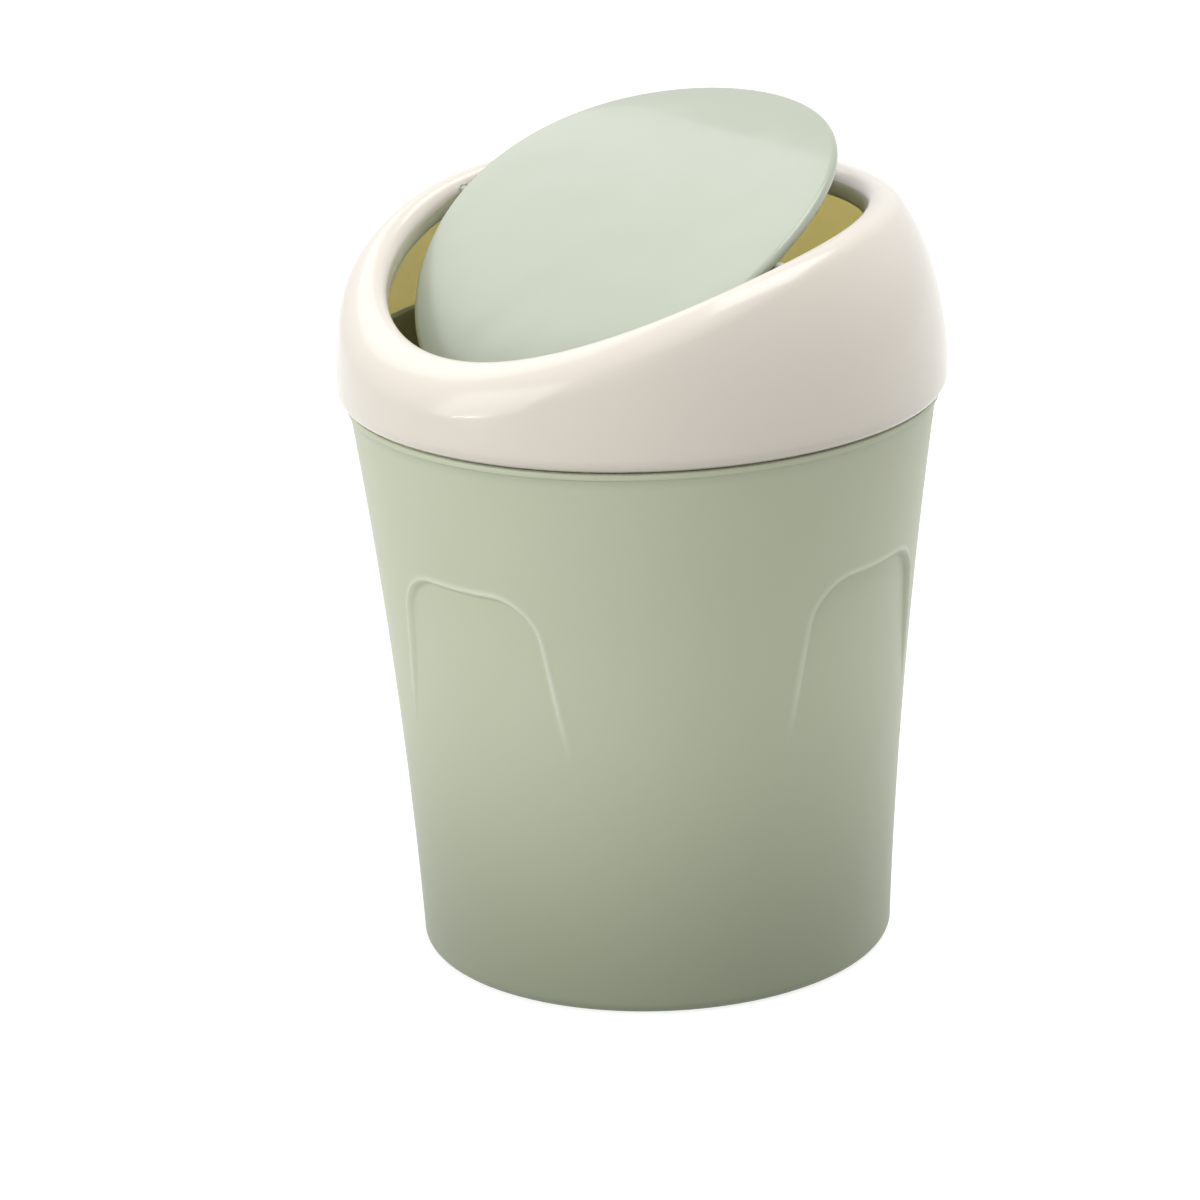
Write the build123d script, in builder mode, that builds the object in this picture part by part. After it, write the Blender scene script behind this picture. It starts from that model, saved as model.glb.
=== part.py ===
"""Countertop trash can: a flared bucket, a domed collar that lifts off it and a flap that swings in the collar.

Millimetres, +Z up. The origin is the centre of the base on the floor. The low side of the collar faces -Y and
the flap turns about an axis along X.
"""

from build123d import *
from math import cos, hypot, isclose, radians, sin, sqrt
import os

os.makedirs("parts", exist_ok=True)

# Bucket: outside
base_radius = 52.5
belly_radius = 56.9
belly_height = 63.0
shoulder_radius = 64.4
shoulder_height = 126.5
base_rounding = 2.5
bead_reach = 0.5
bead_height = 1.4
bead_root = 1.0
bead_rounding = 0.4

# Bucket: wall, floor and neck
wall = 2.0
floor_thickness = 2.4
inside_rounding = 2.0
foot_inner_radius = 44.0
foot_height = 0.8
neck_radius = 62.6
neck_wall = 1.8
neck_height = 10.5
neck_rounding = 0.6

# Bucket: grip recesses, two opposed pairs
grip_top = 96.0
grip_fade = 58.0
grip_depth = 1.2
grip_half_width_top = 18.4
grip_half_width_bottom = 23.0
grip_corner = 6.5
grip_back_growth = 0.8
first_pair_angle = 12.0
second_pair_angle = -84.0
grips_in_pair = 2

# Collar: dome
dome_radius = 67.0
dome_base_height = 130.0
dome_ring_radius = 46.0
dome_rise = 40.2
dome_blend_angle = 62.0
dome_ridge_radius = 50.0
collar_wall = 2.0
hem_clearance = 0.4
hem_height = 3.0
seat_width = 0.9
seat_step = 0.5
tuck_radius = 64.3

# Collar: sloping crown and opening
crown_top = 170.2
crown_radius = 192.4
crown_apex_y = 36.0
crown_rounding = 6.5
opening_radius = 52.6
opening_y = -4.3
opening_rounding = 1.8
flange_wall = 2.2
flange_depth = 8.0

# Flap and pivot
flap_gap = 3.2
flap_wall = 1.6
flap_skirt = 4.3
flap_rounding = 2.5
flap_below_crown = 0.9
flap_open_angle = 19.4
pivot_y = -4.9
pivot_z = 163.2
pin_radius = 1.45
pin_clearance = 0.05
pin_root = 4.0
pin_engagement = 1.5
pin_end_clearance = 0.5
boss_wall = 1.9

# Sizes that follow from the ones above
reach = 2 * dome_radius
neck_top = shoulder_height + neck_height
neck_inner_radius = neck_radius - neck_wall
hem_radius = neck_radius + hem_clearance
hem_top = shoulder_height + hem_height
seat_top = shoulder_height + seat_step
crown_centre = (crown_apex_y, crown_top - crown_radius)
flap_radius = opening_radius - flap_gap
flap_crown_radius = crown_radius - flap_below_crown
bore_radius = pin_radius + pin_clearance
boss_radius = bore_radius + boss_wall
pin_tip = opening_radius + pin_engagement
bore_end = pin_tip + pin_end_clearance
pivot = (pivot_y, pivot_z)
pivot_cover = pin_radius / 2
tolerance = 0.01

# The arc of the bucket's wall, and its radius at any height
wall_arc = ThreePointArc(
    (base_radius, 0),
    (belly_radius, belly_height),
    (shoulder_radius, shoulder_height),
)


def wall_radius(height):
    """Outside radius of the bucket at a height."""
    centre = wall_arc.arc_center
    return centre.X - sqrt(wall_arc.radius**2 - (height - centre.Y) ** 2)


def grip_block(inset, growth):
    """Block that sinks one grip recess into a wall facing +X: deepest at its top, nothing at its foot."""
    with BuildPart() as block:
        with BuildSketch(Plane.XZ):
            Polygon(
                (wall_radius(grip_fade) - inset, grip_fade),
                (wall_radius(grip_top) - grip_depth - inset, grip_top + growth),
                (reach, grip_top + growth),
                (reach, grip_fade),
                align=None,
            )
        revolve(axis=Axis.Z)
        with BuildSketch(Plane.YZ) as outline:
            Polygon(
                (-grip_half_width_bottom - growth, grip_fade),
                (grip_half_width_bottom + growth, grip_fade),
                (grip_half_width_top + growth, grip_top + growth),
                (-grip_half_width_top - growth, grip_top + growth),
                align=None,
            )
            fillet(outline.vertices().sort_by(Axis.Y)[-2:], grip_corner + growth)
        extrude(amount=reach, mode=Mode.INTERSECT)
    return block.part


def crown_height(y):
    """Height of the collar's sloping crown at a distance along Y."""
    return crown_centre[1] + sqrt(crown_radius**2 - (y - crown_apex_y) ** 2)


def on_rim(edge):
    """True for an edge where the opening meets the crown."""
    middle = edge @ 0.5
    on_wall = isclose(hypot(middle.X, middle.Y - opening_y), opening_radius, abs_tol=tolerance)
    return on_wall and middle.Z > crown_height(middle.Y) - pivot_cover


# Bucket ------------------------------------------------------------------------------------------------------
outer_grip = grip_block(0, 0)
inner_grip = grip_block(wall, grip_back_growth)

with BuildPart() as cavity:
    with BuildSketch(Plane.XZ) as cavity_section:
        with BuildLine():
            inner_arc = ThreePointArc(
                (base_radius - wall, 0),
                (belly_radius - wall, belly_height),
                (shoulder_radius - wall, shoulder_height),
            )
            Polyline(inner_arc @ 1, (shoulder_radius - wall, neck_top), (0, neck_top), (0, 0), inner_arc @ 0)
        make_face()
        with Locations((0, floor_thickness)):
            Rectangle(neck_inner_radius, neck_top, align=Align.MIN, mode=Mode.INTERSECT)
        fillet(cavity_section.vertices().group_by(Axis.Y)[0].sort_by(Axis.X)[-1:], inside_rounding)
    revolve(axis=Axis.Z)
    with PolarLocations(0, grips_in_pair, start_angle=first_pair_angle):
        add(inner_grip, mode=Mode.SUBTRACT)
    with PolarLocations(0, grips_in_pair, start_angle=second_pair_angle):
        add(inner_grip, mode=Mode.SUBTRACT)

with BuildPart() as bucket:
    with BuildSketch(Plane.XZ) as bucket_section:
        with BuildLine():
            outer_arc = ThreePointArc(
                (base_radius, 0),
                (belly_radius, belly_height),
                (shoulder_radius, shoulder_height),
            )
            Polyline(outer_arc @ 1, (0, shoulder_height), (0, 0), outer_arc @ 0)
        make_face()
        fillet(bucket_section.vertices().group_by(Axis.Y)[0].sort_by(Axis.X)[-1:], base_rounding)
    revolve(axis=Axis.Z)
    with BuildSketch(Plane.XZ) as bead_section:
        with Locations((shoulder_radius - bead_root, shoulder_height - bead_height)):
            Rectangle(bead_root + bead_reach, bead_height, align=Align.MIN)
        fillet(bead_section.vertices().group_by(Axis.X)[-1], bead_rounding)
    revolve(axis=Axis.Z)
    with BuildSketch(Plane.XY.offset(shoulder_height)):
        Circle(neck_radius)
    extrude(amount=neck_height)
    with PolarLocations(0, grips_in_pair, start_angle=first_pair_angle):
        add(outer_grip, mode=Mode.SUBTRACT)
    with PolarLocations(0, grips_in_pair, start_angle=second_pair_angle):
        add(outer_grip, mode=Mode.SUBTRACT)
    with BuildSketch(Plane.XY):
        Circle(foot_inner_radius)
    extrude(amount=foot_height, mode=Mode.SUBTRACT)
    add(cavity.part, mode=Mode.SUBTRACT)
    fillet(bucket.faces().sort_by(Axis.Z)[-1].edges(), neck_rounding)
bucket.part.label = "bucket"
export_step(bucket.part, "parts/bucket.step")

# Collar ------------------------------------------------------------------------------------------------------
with BuildPart() as dome:
    with BuildSketch(Plane.XZ):
        with BuildLine():
            tuck = EllipticalCenterArc(
                (tuck_radius, dome_base_height),
                dome_radius - tuck_radius,
                dome_base_height - seat_top,
                start_angle=-90,
                arc_size=90,
            )
            side = EllipticalCenterArc(
                (dome_ring_radius, dome_base_height),
                dome_radius - dome_ring_radius,
                dome_rise,
                start_angle=0,
                arc_size=dome_blend_angle,
            )
            run = (side % 1) * ((side @ 1).X - dome_ridge_radius) / -(side % 1).X
            ridge = (side @ 1) + run
            Polyline(
                side @ 1,
                ridge,
                (0, ridge.Y),
                (0, shoulder_height),
                (hem_radius + seat_width, shoulder_height),
                (hem_radius + seat_width, seat_top),
                tuck @ 0,
            )
        make_face()
    revolve(axis=Axis.Z)
    with BuildSketch(Plane.YZ):
        with Locations(crown_centre):
            Circle(crown_radius)
    extrude(amount=reach, both=True, mode=Mode.INTERSECT)
    crown = dome.faces().filter_by(GeomType.CYLINDER).sort_by(Axis.Z)[-1]
    fillet(crown.outer_wire().edges(), crown_rounding)

with BuildPart() as hollow:
    with BuildSketch(Plane.XZ):
        with BuildLine():
            inner_side = EllipticalCenterArc(
                (dome_ring_radius, dome_base_height),
                dome_radius - dome_ring_radius - collar_wall,
                dome_rise - collar_wall,
                start_angle=0,
                arc_size=dome_blend_angle,
            )
            inner_run = (inner_side % 1) * ((inner_side @ 1).X - dome_ridge_radius) / -(inner_side % 1).X
            inner_ridge = (inner_side @ 1) + inner_run
            Polyline(
                inner_side @ 1,
                inner_ridge,
                (0, inner_ridge.Y),
                (0, hem_top),
                (dome_radius - collar_wall, hem_top),
                inner_side @ 0,
            )
        make_face()
    revolve(axis=Axis.Z)
    with BuildSketch(Plane.YZ):
        with Locations(crown_centre):
            Circle(crown_radius - collar_wall)
    extrude(amount=reach, both=True, mode=Mode.INTERSECT)
    inner_crown = hollow.faces().filter_by(GeomType.CYLINDER).sort_by(Axis.Z)[-1]
    fillet(inner_crown.outer_wire().edges(), crown_rounding - collar_wall)

with BuildPart() as flange:
    with BuildSketch(Plane.XY.offset(shoulder_height)):
        with Locations((0, opening_y)):
            Circle(opening_radius + flange_wall)
    extrude(amount=reach)
    with BuildSketch(Plane.YZ):
        with Locations(crown_centre):
            Circle(crown_radius - flange_depth)
    extrude(amount=reach, both=True, mode=Mode.SUBTRACT)
    with BuildSketch(Plane.YZ):
        with Locations(pivot):
            Circle(boss_radius)
    extrude(amount=dome_radius, both=True)

with BuildPart() as collar:
    add(dome.part)
    add(hollow.part.cut(flange.part), mode=Mode.SUBTRACT)
    with BuildSketch(Plane.XY.offset(shoulder_height)):
        Circle(hem_radius)
    extrude(amount=hem_height, mode=Mode.SUBTRACT)
    with BuildSketch(Plane.XY.offset(shoulder_height)):
        with Locations((0, opening_y)):
            Circle(opening_radius)
    extrude(amount=reach, mode=Mode.SUBTRACT)
    with BuildSketch(Plane.YZ):
        with Locations(pivot):
            Circle(bore_radius)
    extrude(amount=bore_end, both=True, mode=Mode.SUBTRACT)
    rim = collar.edges().filter_by(on_rim)
    fillet(rim, opening_rounding)
collar.part.label = "collar"
export_step(collar.part, "parts/collar.step")
# Flap --------------------------------------------------------------------------------------------------------
tilt = radians(flap_open_angle)
flap_plan = Plane(origin=(0, pivot_y, pivot_z), x_dir=(1, 0, 0), z_dir=(0, -sin(tilt), cos(tilt)))
flap_profile = Plane(origin=(0, pivot_y, pivot_z), x_dir=(0, cos(tilt), sin(tilt)), z_dir=(1, 0, 0))
flap_centre = (0, opening_y - pivot_y)
flap_crown_centre = (crown_centre[0] - pivot_y, crown_centre[1] - pivot_z)

with BuildPart() as flap_hollow:
    with BuildSketch(flap_plan):
        with Locations(flap_centre):
            Circle(flap_radius - flap_wall)
    extrude(amount=reach, both=True)
    with BuildSketch(flap_profile):
        with Locations(flap_crown_centre):
            Circle(flap_crown_radius - flap_wall)
    extrude(amount=reach, both=True, mode=Mode.INTERSECT)

with BuildPart() as flap:
    with BuildSketch(flap_plan):
        with Locations(flap_centre):
            Circle(flap_radius)
    extrude(amount=reach, both=True)
    with BuildSketch(flap_profile):
        with Locations(flap_crown_centre):
            Circle(flap_crown_radius)
            Circle(flap_crown_radius - flap_skirt, mode=Mode.SUBTRACT)
    extrude(amount=reach, both=True, mode=Mode.INTERSECT)
    flap_top = flap.faces().filter_by(GeomType.CYLINDER).sort_by(Axis.Z)[-1]
    fillet(flap_top.outer_wire().edges(), flap_rounding)
    add(flap_hollow.part, mode=Mode.SUBTRACT)
    with BuildSketch(Plane.YZ.offset(flap_radius - pin_root)):
        with Locations(pivot):
            Circle(pin_radius)
    pin = extrude(amount=pin_tip - flap_radius + pin_root)
    mirror(pin, about=Plane.YZ)
flap.part.label = "flap"
export_step(flap.part, "parts/flap.step")
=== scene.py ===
"""Countertop trash can with a swing flap: a sage bucket, a cream collar and a sage flap, on a pale floor.

Sizes are in millimetres in the classes and turned to metres where a mesh is made. +Z is up, the origin is the
centre of the bucket's base on the floor, the low side of the collar faces -Y and the flap's pins lie along X.
"""

import logging
import math
from collections.abc import Callable
from dataclasses import dataclass
from enum import Enum

import bpy
from mathutils import Matrix, Vector


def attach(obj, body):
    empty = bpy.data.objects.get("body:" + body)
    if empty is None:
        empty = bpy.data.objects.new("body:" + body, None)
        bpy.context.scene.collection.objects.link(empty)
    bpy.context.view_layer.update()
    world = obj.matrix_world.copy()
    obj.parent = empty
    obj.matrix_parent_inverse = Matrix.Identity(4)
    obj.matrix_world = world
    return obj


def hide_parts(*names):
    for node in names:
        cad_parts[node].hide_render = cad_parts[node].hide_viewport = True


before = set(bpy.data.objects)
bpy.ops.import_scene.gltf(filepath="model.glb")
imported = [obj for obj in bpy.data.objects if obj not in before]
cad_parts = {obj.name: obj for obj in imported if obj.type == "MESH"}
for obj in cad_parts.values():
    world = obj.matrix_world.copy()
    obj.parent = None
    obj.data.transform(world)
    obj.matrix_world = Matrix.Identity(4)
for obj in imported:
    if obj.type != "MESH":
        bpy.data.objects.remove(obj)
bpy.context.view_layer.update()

LOG = logging.getLogger("trash_can")
MM = 0.001
IMAGE_SIDE = 1200.0
SENSOR_MM = 36.0
MERGE_M = 2e-6
HALVINGS = 34
EDGE_HIGHLIGHT = "painted_edge_highlight"

Point = tuple[float, float]

# What collar and flap share: the hinge line's place along Y and height, the pins' radius and the crown's peak
PIVOT: Point = (-4.9, 163.2)
PIN_RADIUS = 1.1
CROWN_APEX = 31.4

UP = Vector((0, 0, 1))


class Side(Enum):
    """Which end of the flap's axis a pin is on."""

    LEFT = -1
    RIGHT = 1


class Skin(Enum):
    """Material slots of a moulding: the finished outside and the plain inside."""

    OUTSIDE = 0
    INSIDE = 1


# --- Small helpers --------------------------------------------------------------------------------------


def linear(hex_colour: str) -> tuple[float, float, float, float]:
    """Turns an sRGB colour into the linear one that shaders take.

    Args:
        hex_colour: six hex digits, such as "c8cfb8".

    Returns:
        Red, green, blue and an alpha of one.
    """
    channels = [int(hex_colour[i : i + 2], 16) / 255 for i in (0, 2, 4)]
    low, offset, gain, power = 0.04045, 0.055, 1.055, 2.4
    red, green, blue = (c / 12.92 if c <= low else ((c + offset) / gain) ** power for c in channels)
    return red, green, blue, 1.0


def add_node(
    tree: bpy.types.NodeTree, kind: str, settings: dict | None = None, **inputs: object
) -> bpy.types.Node:
    """Adds a node, sets it up and wires or fills its inputs.

    Args:
        tree: the node tree that gets the node.
        kind: Blender's name for the node type.
        settings: properties of the node itself.
        **inputs: a value or another node's output for each input, by its name with _ for a space; a name
            such as input_6 means the input of that number.

    Returns:
        The new node.
    """
    node = tree.nodes.new(kind)
    for name, value in (settings or {}).items():
        setattr(node, name, value)
    for name, value in inputs.items():
        number = name.removeprefix("input_")
        socket = node.inputs[int(number)] if number.isdigit() else node.inputs[name.replace("_", " ")]
        if isinstance(value, bpy.types.NodeSocket):
            tree.links.new(value, socket)
        else:
            socket.default_value = value
    return node


def arc(centre: Point, radius: float, start: float, end: float, steps: int) -> list[Point]:
    """Points along an arc of a section, both ends included.

    Args:
        centre: distance from the axis and height of the arc's centre.
        radius: radius of the arc.
        start: angle of the first point in degrees, from straight out and turning upwards.
        end: angle of the last point in degrees.
        steps: number of chords.

    Returns:
        Distances from the axis with their heights.
    """
    turns = [math.radians(start + (end - start) * i / steps) for i in range(steps + 1)]
    return [(centre[0] + radius * math.cos(t), centre[1] + radius * math.sin(t)) for t in turns]


def spread(low: float, high: float, steps: int) -> list[float]:
    """Evenly spaced values from low to high, both included."""
    return [low + (high - low) * i / steps for i in range(steps + 1)]


def smooth(value: float) -> float:
    """Eases a value from 0 to 1 with level ends; values outside are held."""
    held = min(max(value, 0.0), 1.0)
    return held * held * (3 - 2 * held)


def deselect() -> None:
    """Leaves nothing selected, so the next operator acts on the new piece alone."""
    if bpy.context.object and bpy.context.object.mode != "OBJECT":
        bpy.ops.object.mode_set(mode="OBJECT")
    bpy.ops.object.select_all(action="DESELECT")


def choose(piece: bpy.types.Object) -> None:
    """Selects one piece alone and makes it active."""
    deselect()
    piece.select_set(True)
    bpy.context.view_layer.objects.active = piece


def raise_rings(name: str, section: list[Point], segments: int) -> bpy.types.Object:
    """Draws a circle on a section's first point and extrudes it from ring to ring along the section.

    Args:
        name: name of the new piece.
        section: distance from the axis and height of each ring, in millimetres.
        segments: number of vertices in a ring.

    Returns:
        The piece, with its vertices in order ring by ring, each ring starting at +X and turning towards +Y.
    """
    deselect()
    bpy.ops.mesh.primitive_circle_add(vertices=segments, radius=section[0][0] * MM)
    piece = bpy.context.object
    piece.name = piece.data.name = name
    bpy.ops.object.mode_set(mode="EDIT")
    bpy.ops.mesh.select_mode(type="VERT")
    bpy.ops.mesh.select_all(action="SELECT")
    bpy.ops.transform.translate(value=(0, 0, section[0][1] * MM))
    for (radius, height), (next_radius, next_height) in zip(section, section[1:]):
        step = (0, 0, (next_height - height) * MM)
        ratio = next_radius / radius
        bpy.ops.mesh.extrude_region_move(TRANSFORM_OT_translate={"value": step})
        bpy.ops.transform.resize(value=(ratio, ratio, 1), center_override=(0, 0, next_height * MM))
    bpy.ops.object.mode_set(mode="OBJECT")
    return piece


def close_pole(piece: bpy.types.Object, ring: int, segments: int) -> None:
    """Fills the open ring of a piece with a fan of faces round a new middle point.

    Args:
        piece: the piece with the open ring.
        ring: number of the ring, counted along the section.
        segments: number of vertices in a ring.
    """
    choose(piece)
    bpy.ops.object.mode_set(mode="EDIT")
    bpy.ops.mesh.select_mode(type="VERT")
    bpy.ops.mesh.select_all(action="DESELECT")
    bpy.ops.object.mode_set(mode="OBJECT")
    for vertex in piece.data.vertices[ring * segments : (ring + 1) * segments]:
        vertex.select = True
    bpy.ops.object.mode_set(mode="EDIT")
    bpy.ops.mesh.edge_face_add()
    bpy.ops.mesh.poke()
    bpy.ops.object.mode_set(mode="OBJECT")


def finish_shell(piece: bpy.types.Object) -> None:
    """Merges a closed shell's doubles, turns its faces outwards and shades it smooth."""
    choose(piece)
    bpy.ops.object.mode_set(mode="EDIT")
    bpy.ops.mesh.select_all(action="SELECT")
    bpy.ops.mesh.remove_doubles(threshold=MERGE_M)
    bpy.ops.mesh.normals_make_consistent(inside=False)
    bpy.ops.object.mode_set(mode="OBJECT")
    bpy.ops.object.shade_smooth()


def root_between(function: Callable[[float], float], inside: float, outside: float) -> float:
    """Finds where a function that is positive inside falls to zero, by halving.

    Args:
        function: the function of one value.
        inside: a value where it is positive.
        outside: a value where it is negative.

    Returns:
        The value at the crossing.
    """
    for _ in range(HALVINGS):
        middle = (inside + outside) / 2
        if function(middle) > 0:
            inside = middle
        else:
            outside = middle
    return (inside + outside) / 2


def blended(first: float, second: float, rounding: float) -> float:
    """Depth under two skins that meet in a rounded edge.

    Args:
        first: depth under one skin.
        second: depth under the other.
        rounding: size of the rounding between them.

    Returns:
        The lesser depth, less near the edge.
    """
    a, b = rounding - first, rounding - second
    if a > 0 and b > 0:
        return rounding - math.hypot(a, b)
    return rounding - max(a, b)


def outward(azimuth: float, elevation: float) -> Vector:
    """Direction away from the object.

    Args:
        azimuth: turn in degrees from the low side of the collar towards +X.
        elevation: height angle in degrees.

    Returns:
        The direction, of length one.
    """
    turn, rise = math.radians(azimuth), math.radians(elevation)
    return Vector((math.cos(rise) * math.sin(turn), -math.cos(rise) * math.cos(turn), math.sin(rise)))


# --- Finishes -------------------------------------------------------------------------------------------


@dataclass(frozen=True)
class MouldedPlastic:
    """Injection-moulded polypropylene: an even colour, a soft gloss and a slight ripple from the mould."""

    name: str
    colour: str
    drift_colour: str
    roughness: float
    gloss_drift: float
    ripple_mm: float
    ripple_depth_mm: float
    grain_mm: float
    grain_depth_mm: float
    ior: float = 1.49
    scatter: float = 0.0
    scatter_mm: float = 1.2
    scatter_tint: tuple[float, float, float] = (1.0, 0.9, 0.7)
    coat: float = 0.0
    coat_roughness: float = 0.07
    drift_mm: float = 45.0
    patch_mm: float = 9.0
    edge_highlight_colour: str | None = None
    # Colour of the painted shade at the foot, and the heights over which it fades in
    foot_shade_colour: str | None = None
    foot_shade_fade_mm: tuple[float, float] = (-28.0, 90.0)

    def material(self) -> bpy.types.Material:
        """Makes the node material of this plastic.

        Returns:
            The material, with its patterns on Object coordinates.
        """
        material = bpy.data.materials.new(self.name)
        material.use_nodes = True
        tree = material.node_tree
        shader = tree.nodes["Principled BSDF"]
        place = add_node(tree, "ShaderNodeTexCoord").outputs["Object"]

        # Slow drift of the tone, as the pigment spreads in the melt
        cloud = add_node(
            tree,
            "ShaderNodeTexNoise",
            Vector=place,
            Scale=1 / (self.drift_mm * MM),
            Detail=2.0,
            Roughness=0.5,
        )
        tone = add_node(
            tree,
            "ShaderNodeMix",
            {"data_type": "RGBA"},
            Factor=cloud.outputs["Fac"],
            input_6=linear(self.colour),
            input_7=linear(self.drift_colour),
        )
        if self.foot_shade_colour:
            # Painted shade: the colour darkens towards the foot, where less light reaches the wall
            height = add_node(tree, "ShaderNodeSeparateXYZ", Vector=place)
            fade = add_node(
                tree,
                "ShaderNodeMapRange",
                {"interpolation_type": "SMOOTHERSTEP"},
                Value=height.outputs["Z"],
                From_Min=self.foot_shade_fade_mm[0] * MM,
                From_Max=self.foot_shade_fade_mm[1] * MM,
            )
            tone = add_node(
                tree,
                "ShaderNodeMix",
                {"data_type": "RGBA"},
                Factor=fade.outputs["Result"],
                input_6=linear(self.foot_shade_colour),
                input_7=tone.outputs[2],
            )
        if self.edge_highlight_colour:
            # Painted highlight: the grips' edges are made paler, as if they caught the light
            edge = add_node(tree, "ShaderNodeAttribute", {"attribute_name": EDGE_HIGHLIGHT})
            tone = add_node(
                tree,
                "ShaderNodeMix",
                {"data_type": "RGBA"},
                Factor=edge.outputs["Fac"],
                input_6=tone.outputs[2],
                input_7=linear(self.edge_highlight_colour),
            )
        tree.links.new(tone.outputs[2], shader.inputs["Base Color"])

        # The gloss is a little uneven from patch to patch
        patch = add_node(
            tree,
            "ShaderNodeTexNoise",
            Vector=place,
            Scale=1 / (self.patch_mm * MM),
            Detail=3.0,
            Roughness=0.6,
        )
        gloss = add_node(
            tree,
            "ShaderNodeMapRange",
            Value=patch.outputs["Fac"],
            To_Min=self.roughness - self.gloss_drift,
            To_Max=self.roughness + self.gloss_drift,
        )
        tree.links.new(gloss.outputs["Result"], shader.inputs["Roughness"])

        # Long shallow ripples, then the fine grain of the mould, drawn coarse enough to show
        ripple = add_node(
            tree, "ShaderNodeTexNoise", Vector=place, Scale=1 / (self.ripple_mm * MM), Detail=1.0
        )
        grain = add_node(
            tree, "ShaderNodeTexNoise", Vector=place, Scale=1 / (self.grain_mm * MM), Detail=2.0
        )
        wave = add_node(
            tree,
            "ShaderNodeBump",
            Strength=1.0,
            Distance=self.ripple_depth_mm * MM,
            Height=ripple.outputs["Fac"],
        )
        bump = add_node(
            tree,
            "ShaderNodeBump",
            Strength=1.0,
            Distance=self.grain_depth_mm * MM,
            Height=grain.outputs["Fac"],
            Normal=wave.outputs["Normal"],
        )
        tree.links.new(bump.outputs["Normal"], shader.inputs["Normal"])

        shader.inputs["IOR"].default_value = self.ior
        shader.inputs["Subsurface Weight"].default_value = self.scatter
        shader.inputs["Subsurface Scale"].default_value = self.scatter_mm * MM
        shader.inputs["Subsurface Radius"].default_value = self.scatter_tint
        shader.inputs["Coat Weight"].default_value = self.coat
        shader.inputs["Coat Roughness"].default_value = self.coat_roughness
        return material


# Satin from a fine-blasted mould: one broad soft highlight on a grey-green, with painted shade towards the
# foot
SAGE_SATIN = MouldedPlastic(
    name="sage_polypropylene_satin",
    colour="c5cbb3",
    drift_colour="c0c6ad",
    # Painted highlight along the grips' edges
    edge_highlight_colour="d6dcc8",
    foot_shade_colour="8a927b",
    roughness=0.42,
    gloss_drift=0.03,
    ripple_mm=26.0,
    ripple_depth_mm=0.10,
    grain_mm=0.9,
    grain_depth_mm=0.006,
)
# Polished: the flap mirrors the pale room softly, and long ripples bend what it mirrors
SAGE_GLOSS = MouldedPlastic(
    name="sage_polypropylene_gloss",
    colour="adb5a4",
    drift_colour="a6ae9c",
    roughness=0.24,
    gloss_drift=0.03,
    ripple_mm=18.0,
    ripple_depth_mm=0.7,
    grain_mm=0.8,
    grain_depth_mm=0.004,
    coat=0.3,
)
# Polished, in cream: narrow soft highlights that follow the rolled lip
CREAM_GLOSS = MouldedPlastic(
    name="cream_polypropylene_gloss",
    colour="e2dbd1",
    drift_colour="ded6ca",
    roughness=0.22,
    gloss_drift=0.03,
    ripple_mm=22.0,
    ripple_depth_mm=0.10,
    grain_mm=0.8,
    grain_depth_mm=0.004,
    coat=0.3,
)
# The mould's unpolished side: dull, and painted warmer than the outside as warm shade inside the bucket
SAGE_INSIDE = MouldedPlastic(
    name="sage_polypropylene_unpolished_warm_shade",
    colour="b3b07e",
    drift_colour="aca976",
    roughness=0.5,
    gloss_drift=0.04,
    ripple_mm=26.0,
    ripple_depth_mm=0.08,
    grain_mm=0.9,
    grain_depth_mm=0.01,
)
# The collar's unpolished side: light comes through the thin wall, and the colour is painted gold as warm inner
# light
CREAM_INSIDE = MouldedPlastic(
    name="cream_polypropylene_unpolished_warm_light",
    colour="f0e4bb",
    drift_colour="ebdfb3",
    roughness=0.5,
    gloss_drift=0.04,
    scatter=1.0,
    scatter_mm=12.0,
    scatter_tint=(1.0, 0.81, 0.52),
    ripple_mm=20.0,
    ripple_depth_mm=0.08,
    grain_mm=0.9,
    grain_depth_mm=0.01,
)


# --- Bucket ---------------------------------------------------------------------------------------------


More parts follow.
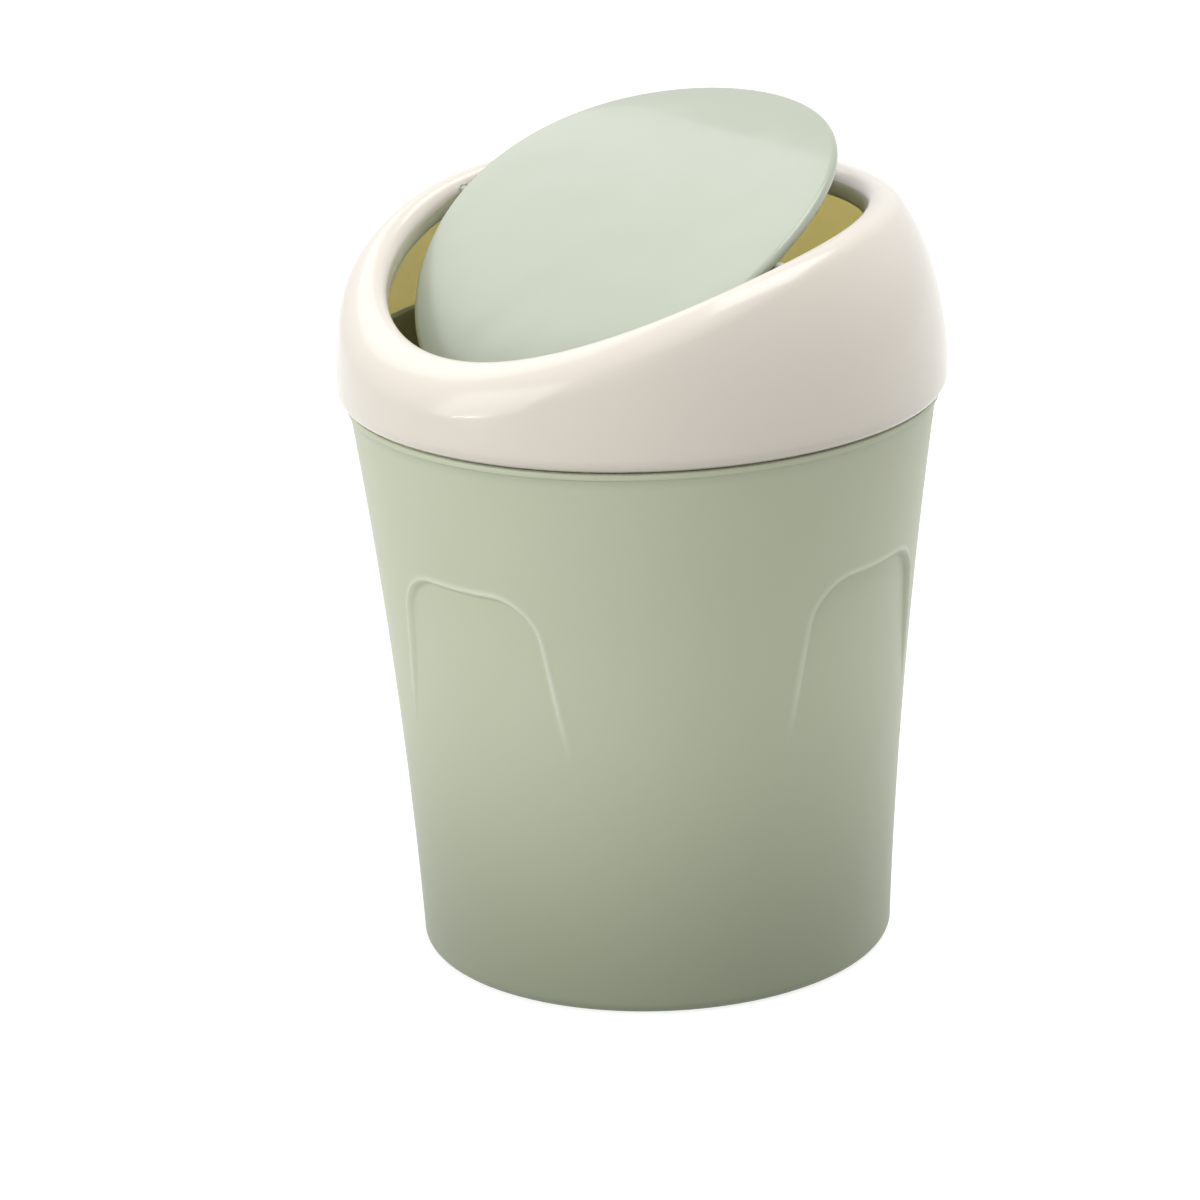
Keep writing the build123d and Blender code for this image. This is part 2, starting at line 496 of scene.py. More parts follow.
@dataclass
class Bucket:
    """Flared bucket with a bead, a plain neck and four shallow grip recesses pressed into its wall."""

    segments: int = 192
    base_radius: float = 52.5
    belly: Point = (56.9, 63.0)
    shoulder: Point = (64.4, 126.5)
    base_rounding: float = 2.5
    foot_radius: float = 44.0
    foot_height: float = 0.8
    foot_rounding: float = 0.4
    foot_ease: Point = (0.15, 0.1)
    foot_land: float = 0.5
    base_flare: float = 0.15
    under_rings: tuple[float, ...] = (6.0, 24.0)
    wall: float = 2.0
    floor: float = 2.4
    floor_rounding: float = 2.0
    floor_margin: float = 6.0
    floor_rings: tuple[float, ...] = (36.0, 22.0, 6.0)
    bead_reach: float = 0.5
    bead_height: float = 1.4
    bead_rounding: float = 0.4
    wall_margins: Point = (1.0, 0.3)
    neck_radius: float = 62.6
    neck_wall: float = 1.8
    neck_top: float = 137.0
    neck_rounding: float = 0.6
    neck_fillet: float = 0.3
    neck_margins: Point = (2.0, 1.5)
    throat_margins: Point = (2.0, 6.0)
    inner_margins: Point = (12.0, 4.0)
    inner_rings: int = 48
    inner_skin: float = 1.7
    grip_top: float = 96.0
    grip_fade: float = 58.0
    grip_depth: float = 1.1
    grip_step: float = 1.15
    grip_ridge: float = 0.35
    ridge_reach: float = 1.1
    grip_half_width_top: float = 18.4
    grip_half_width_foot: float = 23.0
    grip_corner: float = 9.5
    grip_angles: tuple[float, ...] = (12.0, -84.0, 192.0, 96.0)
    fine_band: Point = (-2.6, 3.6)
    fine_margins: Point = (2.0, 3.0)
    fine_cuts: int = 3
    press_margin: float = 4.0
    ring_pitch: float = 2.0

    def wall_centre(self) -> tuple[float, float, float]:
        """Circle through the base, the belly and the shoulder of the wall.

        Returns:
            Its centre's distance from the axis, the centre's height and its radius.
        """
        (ax, ay), (bx, by), (cx, cy) = (self.base_radius, 0.0), self.belly, self.shoulder
        d = 2 * (ax * (by - cy) + bx * (cy - ay) + cx * (ay - by))
        a, b, c = ax * ax + ay * ay, bx * bx + by * by, cx * cx + cy * cy
        ux = (a * (by - cy) + b * (cy - ay) + c * (ay - by)) / d
        uy = (a * (cx - bx) + b * (ax - cx) + c * (bx - ax)) / d
        return ux, uy, math.hypot(ax - ux, ay - uy)

    def wall_radius(self, height: float) -> float:
        """Outside radius of the plain wall at a height."""
        ux, uy, radius = self.wall_centre()
        return ux - math.sqrt(radius**2 - (height - uy) ** 2)

    def grip_edge(self, across: float, height: float) -> float:
        """Distance of a point inside the nearest edge of a grip's outline; negative outside.

        Args:
            across: distance from the grip's middle line.
            height: height above the floor.

        Returns:
            The distance in millimetres.
        """
        lean = (self.grip_half_width_foot - self.grip_half_width_top) / (self.grip_top - self.grip_fade)
        half = self.grip_half_width_top + lean * (self.grip_top - height)
        from_side = (half - abs(across)) / math.hypot(1.0, lean)
        from_top = self.grip_top - height
        corner = self.grip_corner
        if from_side < corner and from_top < corner:
            return corner - math.hypot(corner - from_side, corner - from_top)
        return min(from_side, from_top)

    def nearest_grip(self, x: float, y: float) -> float:
        """Distance across from the middle line of the nearest grip."""
        turn = math.atan2(y, x)
        offsets = [(turn - math.radians(a) + math.pi) % math.tau - math.pi for a in self.grip_angles]
        nearest = min(offsets, key=abs)
        return math.hypot(x, y) * math.sin(nearest)

    def grip_ramp(self, z: float) -> float:
        """How much of a grip there is at a height, from 0 at its foot to 1 at its top."""
        if not self.grip_fade < z < self.grip_top + self.ridge_reach:
            return 0.0
        return min((z - self.grip_fade) / (self.grip_top - self.grip_fade), 1.0)

    def sink(self, x: float, y: float, z: float) -> float:
        """How far the wall is pressed in at a point of it; a grip's edge stands a little proud instead."""
        edge = self.grip_edge(self.nearest_grip(x, y), z)
        pressed = self.grip_ramp(z) * self.grip_depth * smooth(edge / self.grip_step)
        return pressed - self.grip_ridge * self.ridge(x, y, z)

    def ridge(self, x: float, y: float, z: float) -> float:
        """How near a point of the wall is to a grip's edge, from 0 to 1; the edge fades towards its foot."""
        edge = self.grip_edge(self.nearest_grip(x, y), z)
        return smooth(2 * self.grip_ramp(z)) * smooth(1 - abs(edge) / self.ridge_reach)

    def section(self) -> list[Point]:
        """Section of the bucket, from the middle of the underside round to the middle of the floor."""
        return self.outside_section() + self.neck_section() + self.inside_section()

    def outside_section(self) -> list[Point]:
        """Underside with its foot ring, then the wall up to the bead and over it."""
        foot, r = self.foot_radius, self.foot_rounding
        points = [(x, self.foot_height) for x in (*self.under_rings, foot - 2 * r)]
        points += arc((foot - r, self.foot_height - r), r, 90, 0, steps=3)
        points += [(foot + self.foot_ease[0], self.foot_ease[1]), (foot + self.foot_land, 0.0)]
        r = self.base_rounding
        points += arc((self.base_radius + self.base_flare - r, r), r, -90, 0, steps=8)
        bead_foot = self.shoulder[1] - self.bead_height
        first, last = r + self.wall_margins[0], bead_foot - self.wall_margins[1]
        rings = round((bead_foot - first) / self.ring_pitch)
        points += [(self.wall_radius(z), z) for z in spread(first, last, rings)]
        out, r = self.shoulder[0] + self.bead_reach, self.bead_rounding
        points += arc((out - r, bead_foot + r), r, -80, 0, steps=4)
        points += arc((out - r, self.shoulder[1] - r), r, 0, 90, steps=4)
        return points

    def neck_section(self) -> list[Point]:
        """Neck that the collar slides over, from the shoulder up and over its rounded top."""
        neck, inner, seat = self.neck_radius, self.neck_radius - self.neck_wall, self.shoulder[1]
        points = [(neck + self.neck_fillet, seat), (neck, seat + self.neck_fillet)]
        low, high = seat + self.neck_margins[0], self.neck_top - self.neck_margins[1]
        points += [(neck, z) for z in spread(low, high, steps=4)]
        r = self.neck_rounding
        points += arc((neck - r, self.neck_top - r), r, 0, 90, steps=4)
        points += arc((inner + r, self.neck_top - r), r, 90, 180, steps=4)
        return points

    def inside_section(self) -> list[Point]:
        """Bore of the neck, the wall's inside and the floor."""
        inner, seat = self.neck_radius - self.neck_wall, self.shoulder[1]
        high, low = self.neck_top - self.throat_margins[0], seat - self.throat_margins[1]
        points = [(inner, z) for z in spread(high, low, steps=4)]
        high, low = seat - self.inner_margins[0], self.floor + self.inner_margins[1]
        heights = spread(high, low, self.inner_rings)
        points += [(min(self.wall_radius(z) - self.wall, inner), z) for z in heights]
        corner, r = self.wall_radius(self.floor) - self.wall, self.floor_rounding
        points += arc((corner - r, self.floor + r), r, 0, -90, steps=6)
        points += [(x, self.floor) for x in (corner - self.floor_margin, *self.floor_rings)]
        return points

    def build(self) -> bpy.types.Object:
        """Builds the bucket.

        Returns:
            The finished mesh piece.
        """
        section = self.section()
        piece = raise_rings("bucket_shell", section, self.segments)
        close_pole(piece, len(section) - 1, self.segments)
        close_pole(piece, 0, self.segments)
        self.refine(piece)
        self.press(piece)
        self.sort_skins(piece)
        finish_shell(piece)
        return piece

    def refine(self, piece: bpy.types.Object) -> None:
        """Divides the faces along the edges of the grips, where the wall steps in."""
        choose(piece)
        bpy.ops.object.mode_set(mode="EDIT")
        bpy.ops.mesh.select_mode(type="FACE")
        bpy.ops.mesh.select_all(action="DESELECT")
        bpy.ops.object.mode_set(mode="OBJECT")
        for face in piece.data.polygons:
            x, y, z = face.center / MM
            outside = math.hypot(x, y) > self.wall_radius(z) - self.wall / 2
            at_grip = self.grip_fade - self.fine_margins[0] < z < self.grip_top + self.fine_margins[1]
            edge = self.grip_edge(self.nearest_grip(x, y), z)
            face.select = outside and at_grip and self.fine_band[0] < edge < self.fine_band[1]
        bpy.ops.object.mode_set(mode="EDIT")
        bpy.ops.mesh.subdivide(number_cuts=self.fine_cuts, ngon=True)
        bpy.ops.object.mode_set(mode="OBJECT")

    def press(self, piece: bpy.types.Object) -> None:
        """Settles the wall's vertices on the true round wall and presses the grips into both its sides."""
        pale = piece.data.attributes.new(EDGE_HIGHLIGHT, "FLOAT", "POINT")
        for vertex in piece.data.vertices:
            x, y, z = vertex.co / MM
            if not self.grip_fade - self.press_margin < z < self.grip_top + self.press_margin:
                continue
            radius = math.hypot(x, y)
            plain = self.wall_radius(z)
            if radius < plain - self.wall / 2:
                plain -= self.wall
            settled = plain - self.sink(x, y, z)
            # Painted highlight along the grips' edges, which the satin material reads
            pale.data[vertex.index].value = self.ridge(x, y, z)
            vertex.co = Vector((x * settled / radius, y * settled / radius, z)) * MM

    def sort_skins(self, piece: bpy.types.Object) -> None:
        """Gives each face the material slot of the outside or of the inside."""
        for face in piece.data.polygons:
            x, y, z = face.center / MM
            at_neck = z > self.shoulder[1] - 2 * self.bead_height
            outer = self.neck_radius if at_neck else self.wall_radius(z)
            inside = z > self.floor - self.foot_height and math.hypot(x, y) < outer - self.inner_skin
            face.material_index = Skin.INSIDE.value if inside else Skin.OUTSIDE.value

    def dress(self, piece: bpy.types.Object) -> None:
        """Gives the bucket its two skins and puts it in the place of its CAD node."""
        piece.data.materials.append(SAGE_SATIN.material())
        piece.data.materials.append(SAGE_INSIDE.material())
        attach(piece, "bin")
        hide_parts("bucket")


# --- Collar ---------------------------------------------------------------------------------------------


@dataclass
class Collar:
    """Domed ring whose sloping crown rolls over into the round opening, with a short flange inside."""

    segments: int = 256
    dome_radius: float = 66.8
    dome_base: float = 130.0
    ring_radius: float = 45.0
    dome_rise: float = 44.4
    blend_turn: float = 72.0
    wall: float = 2.0
    seat: float = 126.5
    seat_step: float = 0.5
    seat_radius: float = 63.9
    tuck_radius: float = 64.3
    hem_radius: float = 63.0
    hem_top: float = 129.5
    hem_chamfer: float = 0.2
    hem_top_chamfer: float = 0.3
    hem_margin: float = 1.0
    crown_top: float = 171.3
    crown_radius: float = 172.0
    crest_rounding: float = 4.2
    opening_radius: float = 51.9
    opening_y: float = -3.8
    rim_drop: float = 4.6
    rim_reach: float = 6.5
    rim_growth: float = 0.25
    flange_wall: float = 2.2
    flange_depth: float = 8.0
    flange_chamfer: float = 0.4
    flange_split: float = 0.6
    core_depth: float = 5.5
    core_inset: float = 6.0
    ray_start: float = 40.0
    ray_reach: float = 60.0
    tuck_steps: int = 8
    side_rings: int = 14
    lip_rays: int = 34
    inner_rays: int = 12
    inner_rings: int = 8
    seat_faces: int = 3
    lip_inside_faces: int = 4
    bore_clearance: float = 0.05
    bore_end: float = 53.6
    bore_vertices: int = 48

    def crown_height(self, y: float) -> float:
        """Height of the crown's surface above a place along Y."""
        centre = self.crown_top - self.crown_radius
        return centre + math.sqrt(self.crown_radius**2 - (y - CROWN_APEX) ** 2)

    def under_crown(self, point: Vector) -> float:
        """Depth of a point under the crown's surface."""
        centre = self.crown_top - self.crown_radius
        return self.crown_radius - math.hypot(point.y - CROWN_APEX, point.z - centre)

    def under_dome(self, point: Vector) -> float:
        """Depth of a point under the dome's surface, which runs on straight above its blend point."""
        radius = math.hypot(point.x, point.y)
        if point.z <= self.dome_base:
            return self.dome_radius - radius
        wide, tall = self.dome_radius - self.ring_radius, self.dome_rise
        turn = math.radians(self.blend_turn)
        blend = (self.ring_radius + wide * math.cos(turn), self.dome_base + tall * math.sin(turn))
        normal = Vector((tall * math.cos(turn), wide * math.sin(turn))).normalized()
        offset = Vector((radius - blend[0], point.z - blend[1]))
        if offset.x * normal.y - offset.y * normal.x < 0:
            return -offset.dot(normal)
        u, v = (radius - self.ring_radius) / wide, (point.z - self.dome_base) / tall
        steepness = 2 * math.hypot(u / wide, v / tall)
        return (1 - u * u - v * v) / max(steepness, 1e-6)

    def inside_outer(self, point: Vector) -> float:
        """Depth under the outer skin, with the crest between the dome and the crown rounded."""
        return blended(self.under_dome(point), self.under_crown(point), self.crest_rounding)

    def inside_lip(self, point: Vector) -> float:
        """Depth under the skin of the whole lip, the opening's rounded rim included."""
        depth = self.inside_outer(point)
        hole = math.hypot(point.x, point.y - self.opening_y) - self.opening_radius
        growth = 1 + self.rim_growth * (point.y - self.opening_y) / self.opening_radius
        above, beside = 1 - depth / (self.rim_drop * growth), 1 - hole / (self.rim_reach * growth)
        if above > 0 and beside > 0:
            return (1 - math.hypot(above, beside)) * self.rim_drop
        return min(depth, hole)

    def column(self, turn: float) -> list[Vector]:
        """Section of the collar at one turn about the axis, as a closed run of points.

        Args:
            turn: angle from +X towards +Y in radians.

        Returns:
            Points from the seat up the outside, over the lip, down the opening and back along the inside.
        """
        way = Vector((math.cos(turn), math.sin(turn), 0))
        outside = self.outside_run(way)
        return outside + self.inside_run(way, outside[-1]) + [outside[0].copy()]

    def outside_run(self, way: Vector) -> list[Vector]:
        """Points from the hem's foot over the seat, up the outside and over the lip.

        Args:
            way: level direction from the axis.

        Returns:
            The points, in millimetres.
        """
        step_top, hem = self.seat + self.seat_step, self.hem_radius
        points = [way * hem + UP * (self.seat + self.hem_chamfer)]
        points += [way * (hem + self.hem_chamfer) + UP * self.seat]
        points += [way * self.seat_radius + UP * self.seat, way * self.seat_radius + UP * step_top]
        for angle in spread(-90, 0, self.tuck_steps):
            out = self.tuck_radius + (self.dome_radius - self.tuck_radius) * math.cos(math.radians(angle))
            height = self.dome_base + (self.dome_base - step_top) * math.sin(math.radians(angle))
            points.append(way * out + UP * height)

        hole_point = way * self.opening_radius + Vector((0, self.opening_y, 0))
        dome_point = way * (self.dome_radius - self.core_inset)
        core = (hole_point + dome_point) / 2
        core.z = self.crown_height(core.y) - self.core_depth
        for height in spread(self.dome_base, core.z, self.side_rings)[1:-1]:
            points.append(self.shoot(way * self.ray_start + UP * height, way, self.inside_outer, 0.0))
        for ray in range(self.lip_rays + 1):
            angle = math.pi * ray / self.lip_rays
            direction = way * math.cos(angle) + UP * math.sin(angle)
            points.append(self.shoot(core, direction, self.inside_lip, 0.0))
        return points

    def inside_run(self, way: Vector, edge: Vector) -> list[Vector]:
        """Points down the opening, round the flange's foot, up behind it and down the inside to the hem.

        Args:
            way: level direction from the axis.
            edge: last point of the lip.

        Returns:
            The points, in millimetres.
        """
        chamfer = self.flange_chamfer
        bottom = self.crown_height(edge.y) - self.flange_depth
        plan = Vector((edge.x, edge.y, 0))
        points = [plan + UP * z for z in spread(edge.z, bottom + chamfer, steps=3)[1:]]
        outward_from_hole = (plan - Vector((0, self.opening_y, 0))).normalized()
        for across in (chamfer, self.flange_wall - chamfer):
            points.append(plan + outward_from_hole * across + UP * bottom)
        back = plan + outward_from_hole * self.flange_wall
        foot = back + UP * (bottom + chamfer)
        points.append(foot)
        ceiling = self.shoot(foot, UP, self.inside_outer, self.wall)
        points.append(back + UP * (bottom * (1 - self.flange_split) + ceiling.z * self.flange_split))
        for ray in range(self.inner_rays + 1):
            angle = math.pi / 2 * (1 - ray / self.inner_rays)
            direction = way * math.cos(angle) + UP * math.sin(angle)
            points.append(self.shoot(foot, direction, self.inside_outer, self.wall))
        for height in spread(points[-1].z, self.hem_top + self.hem_margin, self.inner_rings)[1:]:
            points.append(self.shoot(way * self.ray_start + UP * height, way, self.inside_outer, self.wall))
        points.append(way * (self.dome_radius - self.wall) + UP * self.hem_top)
        points.append(way * (self.hem_radius + self.hem_top_chamfer) + UP * self.hem_top)
        points.append(way * self.hem_radius + UP * (self.hem_top - self.hem_top_chamfer))
        return points

    def shoot(self, start: Vector, way: Vector, depth: Callable[[Vector], float], skin: float) -> Vector:
        """Follows a straight line from inside the lip to where it is a given depth under its skin.

        Args:
            start: point to start from, in millimetres.
            way: direction to go.
            depth: the depth function to follow.
            skin: depth under the skin at which to stop.

        Returns:
            The point found.
        """
        return start + way * root_between(lambda t: depth(start + way * t) - skin, 0.0, self.ray_reach)

    def build(self) -> bpy.types.Object:
        """Builds the collar.

        Returns:
            The finished mesh piece, its faces sorted for two material slots.
        """
        columns = [self.column(math.tau * i / self.segments) for i in range(self.segments)]
        section = [(math.hypot(p.x, p.y), p.z) for p in columns[self.segments // 2]]
        piece = raise_rings("collar_ring", section, self.segments)
        for vertex in piece.data.vertices:
            ring, segment = divmod(vertex.index, self.segments)
            vertex.co = columns[segment][ring] * MM
        outside_faces = len(self.outside_run(Vector((1, 0, 0)))) - self.lip_inside_faces
        for face in piece.data.polygons:
            ring = min(face.vertices) // self.segments
            inside = ring >= outside_faces or ring < self.seat_faces
            face.material_index = Skin.INSIDE.value if inside else Skin.OUTSIDE.value
        self.drill(piece)
        finish_shell(piece)
        return piece

    def drill(self, piece: bpy.types.Object) -> None:
        """Drills the two blind holes that the flap's pins turn in."""
        deselect()
        bpy.ops.mesh.primitive_cylinder_add(
            vertices=self.bore_vertices,
            radius=(PIN_RADIUS + self.bore_clearance) * MM,
            depth=2 * self.bore_end * MM,
            location=(0, PIVOT[0] * MM, PIVOT[1] * MM),
            rotation=(0, math.pi / 2, 0),
        )
        drill = bpy.context.object
        bpy.ops.object.transform_apply(location=True, rotation=True, scale=True)
        choose(piece)
        bores = piece.modifiers.new("bores", "BOOLEAN")
        bores.operation = "DIFFERENCE"
        bores.object = drill
        bpy.ops.object.modifier_apply(modifier=bores.name)
        bpy.data.objects.remove(drill)

    def dress(self, piece: bpy.types.Object) -> None:
        """Gives the collar its two skins and puts it in the place of its CAD node."""
        piece.data.materials.append(CREAM_GLOSS.material())
        piece.data.materials.append(CREAM_INSIDE.material())
        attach(piece, "lid")
        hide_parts("collar")


# --- Flap -----------------------------------------------------------------------------------------------


@dataclass
class Flap:
    """Nearly round curved sheet with a rolled edge, a short skirt and two stub pins, hung open.

    The closed sheet is turned about a line 1.5 mm from the pins, which sets the open flap 0.5 mm higher.
    """

    segments: int = 192
    half_width: float = 48.9
    half_length: float = 50.0
    centre_y: float = -5.0
    crown_radius: float = 170.6
    crown_centre: float = -0.7
    thickness: float = 1.6
    skirt: float = 2.3
    rounding: float = 1.2
    skirt_rounding: float = 0.5
    inner_fillet: float = 0.8
    top_first: float = 3.0
    top_pitch: float = 2.2
    top_rings: int = 20
    under_margin: float = 2.4
    under_pitch: float = 3.1
    under_rings: int = 14
    open_angle: float = 18.7
    turning_line: Point = (-6.2, 164.0)
    pin_root: float = 45.4
    pin_tip: float = 53.2
    pin_chamfer: float = 0.35
    pin_vertices: int = 40
    pin_smooth_angle: float = 40.0

    def section(self) -> list[Point]:
        """Section of the sheet, from the middle of its top round to the middle of its underside.

        Returns:
            Distance from the middle and drop below the top of each ring.
        """
        tip, fillet, under = self.skirt_rounding, self.inner_fillet, -self.thickness
        points = [(self.top_first + self.top_pitch * i, 0.0) for i in range(self.top_rings)]
        out, inner = self.half_length, self.half_length - self.thickness
        points += arc((out - self.rounding, -self.rounding), self.rounding, 90, 0, steps=9)
        points += arc((out - tip, tip - self.skirt), tip, 0, -90, steps=3)
        points += arc((inner + tip, tip - self.skirt), tip, -90, -180, steps=3)
        points += arc((inner - fillet, under - fillet), fillet, 0, 90, steps=4)
        points += [(inner - self.under_margin - self.under_pitch * i, under) for i in range(self.under_rings)]
        return points

    def top(self, y: float) -> float:
        """Height of the closed flap's top surface at a place along Y."""
        return self.crown_centre + math.sqrt(self.crown_radius**2 - (y - CROWN_APEX) ** 2)

    def build(self) -> bpy.types.Object:
        """Builds the flap with its pins.

        Returns:
            The finished mesh piece.
        """
        section = self.section()
        lifted = [(r, z + self.skirt) for r, z in section]
        piece = raise_rings("flap_sheet", lifted, self.segments)
        for vertex in piece.data.vertices:
            x, y, z = vertex.co / MM
            x *= self.half_width / self.half_length
            y += self.centre_y
            vertex.co = Vector((x, y, self.top(y) + z - self.skirt)) * MM
        close_pole(piece, len(section) - 1, self.segments)
        close_pole(piece, 0, self.segments)
        finish_shell(piece)
        self.swing_open(piece)
        pins = [self.pin(side) for side in Side]
        choose(piece)
        for pin in pins:
            pin.select_set(True)
        bpy.ops.object.join()
        return piece

    def swing_open(self, piece: bpy.types.Object) -> None:
        """Turns the closed flap about its turning line until its back stands up."""
        pivot = Vector((0, *self.turning_line)) * MM
        turn = Matrix.Translation(pivot) @ Matrix.Rotation(math.radians(self.open_angle), 4, "X")
        piece.data.transform(turn @ Matrix.Translation(-pivot))

    def pin(self, side: Side) -> bpy.types.Object:
        """Makes one stub pin, with a small chamfer at its tip.

        Args:
            side: the end of the axis that it is on.

        Returns:
            The pin, in its place.
        """
        deselect()
        length = self.pin_tip - self.pin_root
        middle = (self.pin_tip + self.pin_root) / 2 * side.value
        bpy.ops.mesh.primitive_cylinder_add(
            vertices=self.pin_vertices,
            radius=PIN_RADIUS * MM,
            depth=length * MM,
            location=(middle * MM, PIVOT[0] * MM, PIVOT[1] * MM),
            rotation=(0, math.pi / 2, 0),
        )
        pin = bpy.context.object
        pin.name = f"flap_pin_{side.name.lower()}"
        bpy.ops.object.transform_apply(location=True, rotation=True, scale=True)
        bevel = pin.modifiers.new("chamfer", "BEVEL")
        bevel.width = self.pin_chamfer * MM
        bevel.segments = 3
        bevel.limit_method = "ANGLE"
        bpy.ops.object.modifier_apply(modifier=bevel.name)
        bpy.ops.object.shade_smooth_by_angle(angle=math.radians(self.pin_smooth_angle))
        return pin

    def dress(self, piece: bpy.types.Object) -> None:
        """Gives the flap its plastic and puts it in the place of its CAD node."""
        piece.data.materials.clear()
        piece.data.materials.append(SAGE_GLOSS.material())
        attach(piece, "swing_flap")
        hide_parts("flap")


# --- Studio ---------------------------------------------------------------------------------------------


@dataclass(frozen=True)
class Lamp:
    """Soft square or oblong lamp that looks at the object.

    Its azimuth is the turn from the camera's own, negative to the left. Angles are in degrees, the distance
    and the sides in metres. A lamp that isn't mirrored lights the object without a reflection in its gloss.
    """

    name: str
    azimuth: float
    elevation: float
    distance: float
    side: float
    watts: float
    height: float | None = None
    mirrored: bool = True


# The glint is a low, narrow strip: it draws the short bright streak on the collar's front
LAMPS = (
    Lamp("key", azimuth=-62, elevation=20, distance=0.8, side=0.55, watts=2.0),
    Lamp("fill", azimuth=-15, elevation=12, distance=1.6, side=0.9, watts=3.0, mirrored=False),
    Lamp("top", azimuth=105, elevation=74, distance=1.4, side=0.9, watts=9.5),
    Lamp("back", azimuth=-140, elevation=50, distance=1.4, side=1.0, watts=3.5),
    Lamp("rim", azimuth=115, elevation=15, distance=1.3, side=0.9, watts=2.8, mirrored=False),
    Lamp("glint", azimuth=-63, elevation=1.2, distance=0.655, side=0.18, watts=0.15, height=0.014),
)


def seen_white(tree: bpy.types.NodeTree) -> bpy.types.NodeSocket:
    """Tells the rays that see a surface from those that only carry its light.

    Args:
        tree: the node tree that gets the nodes.

    Returns:
        An output that is 1 for rays from the camera or off a gloss, and 0 for others.
    """
    path = add_node(tree, "ShaderNodeLightPath")
    either = add_node(
        tree,
        "ShaderNodeMath",
        {"operation": "MAXIMUM"},
        input_0=path.outputs["Is Camera Ray"],
        input_1=path.outputs["Is Glossy Ray"],
    )
    return either.outputs[0]


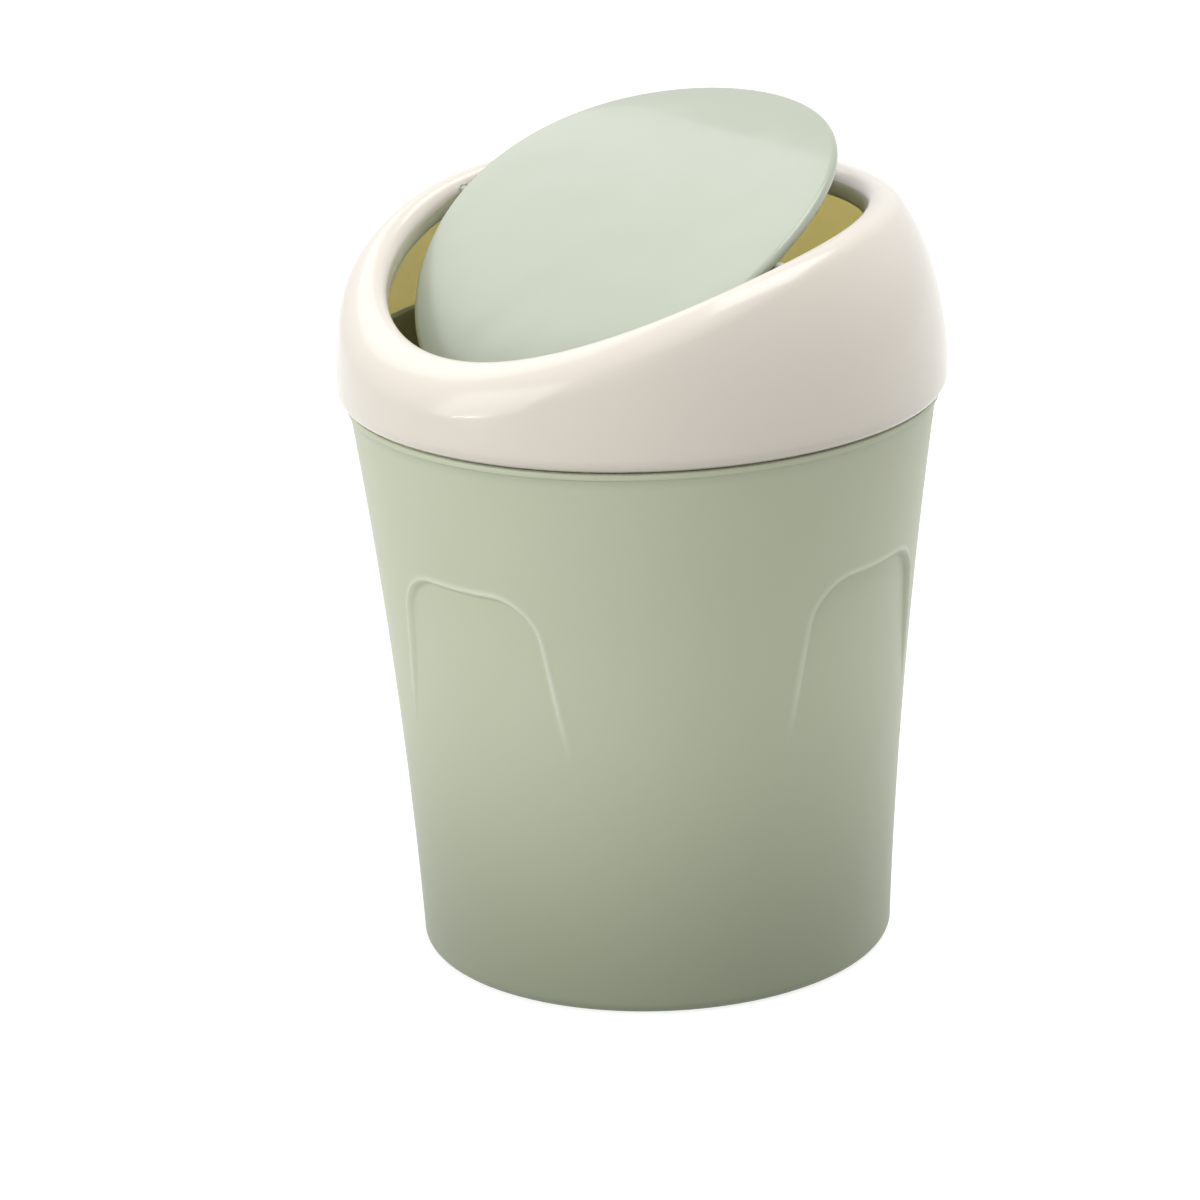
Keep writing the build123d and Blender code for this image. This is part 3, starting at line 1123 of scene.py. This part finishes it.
@dataclass
class Studio:
    """Pale floor, even white surroundings, soft lamps and the camera."""

    focal_px: float = 4958.0
    distance_mm: float = 1100.0
    elevation: float = 18.57
    azimuth: float = 47.8
    roll: float = 1.66
    aim_mm: tuple[float, float, float] = (0.0, 0.0, 80.0)
    aim_pixel: Point = (648.1, 588.3)
    clip_end: float = 50.0
    world_strength: float = 0.6
    floor_side: float = 12.0
    floor_colour: str = "a0a09c"
    floor_roughness: float = 0.9
    floor_specular: float = 0.1
    floor_glow: float = 0.8

    def camera(self) -> None:
        """Adds the camera, turned so that the aim point lands on its pixel without any lens shift."""
        roll = math.radians(self.roll)
        out = outward(self.azimuth, self.elevation)
        place = Vector(self.aim_mm) * MM + out * self.distance_mm * MM
        right = (-out).cross(UP).normalized()
        above = right.cross(-out)
        image_right = right * math.cos(roll) - above * math.sin(roll)
        image_up = right * math.sin(roll) + above * math.cos(roll)
        across = (self.aim_pixel[0] - IMAGE_SIDE / 2) / self.focal_px
        down = (self.aim_pixel[1] - IMAGE_SIDE / 2) / self.focal_px
        ahead = (-out - image_right * across + image_up * down).normalized()
        axis_x = (image_right - ahead * image_right.dot(ahead)).normalized()
        axis_y = axis_x.cross(ahead)
        turn = Matrix((axis_x, axis_y, -ahead)).transposed()
        data = bpy.data.cameras.new("camera")
        data.sensor_width = SENSOR_MM
        data.lens = self.focal_px * SENSOR_MM / IMAGE_SIDE
        data.clip_end = self.clip_end
        camera = bpy.data.objects.new("camera", data)
        camera.matrix_world = Matrix.Translation(place) @ turn.to_4x4()
        bpy.context.scene.collection.objects.link(camera)
        bpy.context.scene.camera = camera

    def floor(self) -> None:
        """Adds the floor, seen as white; the light that bounces off it still has the object's shadow in it."""
        deselect()
        bpy.ops.mesh.primitive_plane_add(size=self.floor_side)
        piece = bpy.context.object
        piece.name = "studio_floor"
        material = bpy.data.materials.new("pale_floor")
        material.use_nodes = True
        tree = material.node_tree
        shader = tree.nodes["Principled BSDF"]
        shader.inputs["Base Color"].default_value = linear(self.floor_colour)
        shader.inputs["Roughness"].default_value = self.floor_roughness
        shader.inputs["Specular IOR Level"].default_value = self.floor_specular
        glow = add_node(tree, "ShaderNodeEmission", Strength=self.floor_glow)
        dark = add_node(tree, "ShaderNodeEmission", Strength=0.0)
        seen = add_node(
            tree,
            "ShaderNodeMixShader",
            Fac=seen_white(tree),
            input_1=dark.outputs[0],
            input_2=glow.outputs[0],
        )
        both = add_node(tree, "ShaderNodeAddShader", input_0=shader.outputs[0], input_1=seen.outputs[0])
        tree.links.new(both.outputs[0], tree.nodes["Material Output"].inputs["Surface"])
        piece.data.materials.append(material)

    def world(self) -> None:
        """Sets even surroundings that the camera and the gloss see as white."""
        world = bpy.data.worlds.new("surroundings")
        bpy.context.scene.world = world
        world.use_nodes = True
        tree = world.node_tree
        tree.nodes.clear()
        strength = add_node(
            tree,
            "ShaderNodeMapRange",
            Value=seen_white(tree),
            To_Min=self.world_strength,
            To_Max=1.0,
        )
        back = add_node(tree, "ShaderNodeBackground", Color=(1, 1, 1, 1), Strength=strength.outputs["Result"])
        output = add_node(tree, "ShaderNodeOutputWorld", Surface=back.outputs[0])
        output.is_active_output = True

    def light(self, lamp: Lamp) -> None:
        """Adds a lamp that looks at the camera's aim point."""
        out = outward(self.azimuth + lamp.azimuth, lamp.elevation)
        data = bpy.data.lights.new(lamp.name, "AREA")
        data.size = lamp.side
        data.energy = lamp.watts
        if lamp.height is not None:
            data.shape = "RECTANGLE"
            data.size_y = lamp.height
        light = bpy.data.objects.new(lamp.name, data)
        place = Matrix.Translation(Vector(self.aim_mm) * MM + out * lamp.distance)
        light.matrix_world = place @ out.to_track_quat("Z", "Y").to_matrix().to_4x4()
        light.visible_glossy = lamp.mirrored
        bpy.context.scene.collection.objects.link(light)

    def build(self) -> None:
        """Sets up the camera, the floor, the surroundings and the lamps."""
        self.camera()
        self.floor()
        self.world()
        for lamp in LAMPS:
            self.light(lamp)
        bpy.context.scene.view_settings.view_transform = "Standard"


def main() -> None:
    """Builds the studio and the three mouldings, and reports each."""
    logging.basicConfig(level=logging.INFO, format="%(name)s: %(message)s")
    Studio().build()
    for part in (Bucket(), Collar(), Flap()):
        piece = part.build()
        part.dress(piece)
        LOG.info("%s: %d faces", piece.name, len(piece.data.polygons))


if __name__ == "__main__":
    main()
